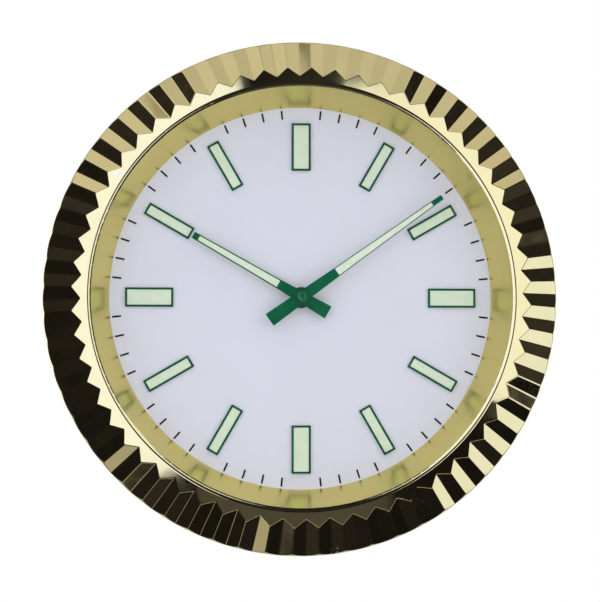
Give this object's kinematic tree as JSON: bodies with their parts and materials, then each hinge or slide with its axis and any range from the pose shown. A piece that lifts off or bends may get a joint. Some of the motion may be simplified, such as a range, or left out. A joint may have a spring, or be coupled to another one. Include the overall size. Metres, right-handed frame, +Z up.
{
  "type": "wall clock",
  "caption": "Round wall clock with a fluted gold bezel, flat glass, pale dial with applied baton markers, two green baton hands and a battery movement behind a keyhole hanger.",
  "frame": {"origin": "on the hands' axis, in the wall plane that the rear rim rests against", "axes": "+X to the right as seen from the front, +Z up, -Y out of the wall towards the viewer"},
  "size_m": [0.34, 0.0506, 0.34],
  "materials": {
    "bezel_gold": "polished gold anodised, flat flute facets and a polished band",
    "glass": "clear flat glass",
    "gasket": "soft black ring",
    "rehaut_gold": "satin gold anodised",
    "dial": "matt pale lacquer",
    "ink": "matt black print",
    "marker_green": "gloss dark green enamel",
    "lume": "matt pale green luminous paint",
    "hand_green": "satin dark green enamel",
    "black_moulding": "black moulding",
    "cover_black": "fine-textured black moulding",
    "screw_steel": "black oxide steel",
    "zinc_steel": "zinc-plated steel",
    "brass": "plain brass",
    "nut_black": "blackened",
    "movement_black": "black moulding",
    "stator_steel": "soft iron sheet",
    "white_moulding": "white acetal",
    "copper": "enamelled copper wire",
    "board": "green lacquered board",
    "chip": "black resin",
    "nickel": "nickel plated",
    "axle_steel": "ground steel",
    "ferrite": "sintered magnet",
    "cell_steel": "nickel-plated can",
    "cell_sleeve": "printed film"
  },
  "bodies": {
    "case": {"bezel": "bezel_gold", "crystal": "glass", "crystal_gasket": "gasket", "rehaut_ring": "rehaut_gold", "dial_plate": "dial", "minute_track": "ink", "wide_marker_frames": "marker_green", "narrow_marker_frames": "marker_green", "wide_marker_lume": "lume", "narrow_marker_lume": "lume", "dial_spacer": "black_moulding", "back_cover": "cover_black", "back_cover_screws": "screw_steel", "hanger_plate": "zinc_steel", "hanger_rivets": "zinc_steel", "dial_washer": "brass", "dial_nut": "nut_black", "rubber_washer": "gasket", "movement_front_case": "movement_black", "movement_rear_case": "movement_black", "stator": "stator_steel", "coil_core": "stator_steel", "coil_bobbin": "white_moulding", "coil_winding": "copper", "circuit_board": "board", "timing_chip": "chip", "quartz_can": "nickel", "battery_contact_plus": "nickel", "battery_contact_minus": "nickel", "train_axles": "axle_steel"},
    "minute_hands": {"minute_arbor": "brass", "minute_hand": "hand_green", "minute_hand_lume": "lume", "minute_hand_bush": "brass", "hand_nut": "hand_green", "friction_spring": "brass"},
    "hour_hands": {"hour_wheel": "white_moulding", "hour_hand": "hand_green", "hour_hand_lume": "lume", "hour_hand_bush": "brass"},
    "motion_gear": {"motion_wheel": "white_moulding"},
    "knob": {"set_knob": "movement_black"},
    "rotor": {"rotor_pinion": "white_moulding", "rotor_magnet": "ferrite"},
    "intermediate_gear": {"intermediate_wheel": "white_moulding"},
    "seconds_gear": {"seconds_wheel": "white_moulding"},
    "third_gear": {"third_wheel": "white_moulding"},
    "centre_gear": {"centre_wheel": "white_moulding"},
    "battery": {"battery_cell": "cell_steel", "battery_sleeve": "cell_sleeve"}
  },
  "joints": [
    {"name": "minute_turn", "type": "hinge", "parent": "case", "child": "minute_hands", "pos_m": [0, 0, 0], "axis": [0, 1, 0], "continuous": true},
    {"name": "hour_turn", "type": "hinge", "parent": "case", "child": "hour_hands", "pos_m": [0, 0, 0], "axis": [0, 1, 0], "continuous": true},
    {"name": "motion_turn", "type": "hinge", "parent": "case", "child": "motion_gear", "pos_m": [-0.01039, 0, 0.006], "axis": [0, 1, 0], "continuous": true},
    {"name": "knob_turn", "type": "hinge", "parent": "case", "child": "knob", "pos_m": [-0.01639, 0, 0.01639], "axis": [0, 1, 0], "continuous": true},
    {"name": "rotor_turn", "type": "hinge", "parent": "case", "child": "rotor", "pos_m": [0.01583, 0, 0.01879], "axis": [0, 1, 0], "continuous": true},
    {"name": "intermediate_turn", "type": "hinge", "parent": "case", "child": "intermediate_gear", "pos_m": [0.00756, 0, 0.01733], "axis": [0, 1, 0], "continuous": true},
    {"name": "seconds_turn", "type": "hinge", "parent": "case", "child": "seconds_gear", "pos_m": [-0.00024, 0, 0.01283], "axis": [0, 1, 0], "continuous": true},
    {"name": "third_turn", "type": "hinge", "parent": "case", "child": "third_gear", "pos_m": [0.00896, 0, 0.00752], "axis": [0, 1, 0], "continuous": true},
    {"name": "centre_turn", "type": "hinge", "parent": "case", "child": "centre_gear", "pos_m": [0, 0, 0], "axis": [0, 1, 0], "continuous": true},
    {"name": "battery_slide", "type": "slide", "parent": "case", "child": "battery", "axis": [0, 1, 0], "range_m": [0, 0.03]}
  ],
  "couplings": [
    {"joint": "hour_turn", "follows": "minute_turn", "ratio": 0.083333},
    {"joint": "motion_turn", "follows": "minute_turn", "ratio": -0.33333},
    {"joint": "knob_turn", "follows": "minute_turn", "ratio": 1},
    {"joint": "intermediate_turn", "follows": "rotor_turn", "ratio": -0.16667},
    {"joint": "seconds_turn", "follows": "rotor_turn", "ratio": 0.033333},
    {"joint": "third_turn", "follows": "rotor_turn", "ratio": -0.0044444},
    {"joint": "centre_turn", "follows": "rotor_turn", "ratio": 0.00055556}
  ]
}
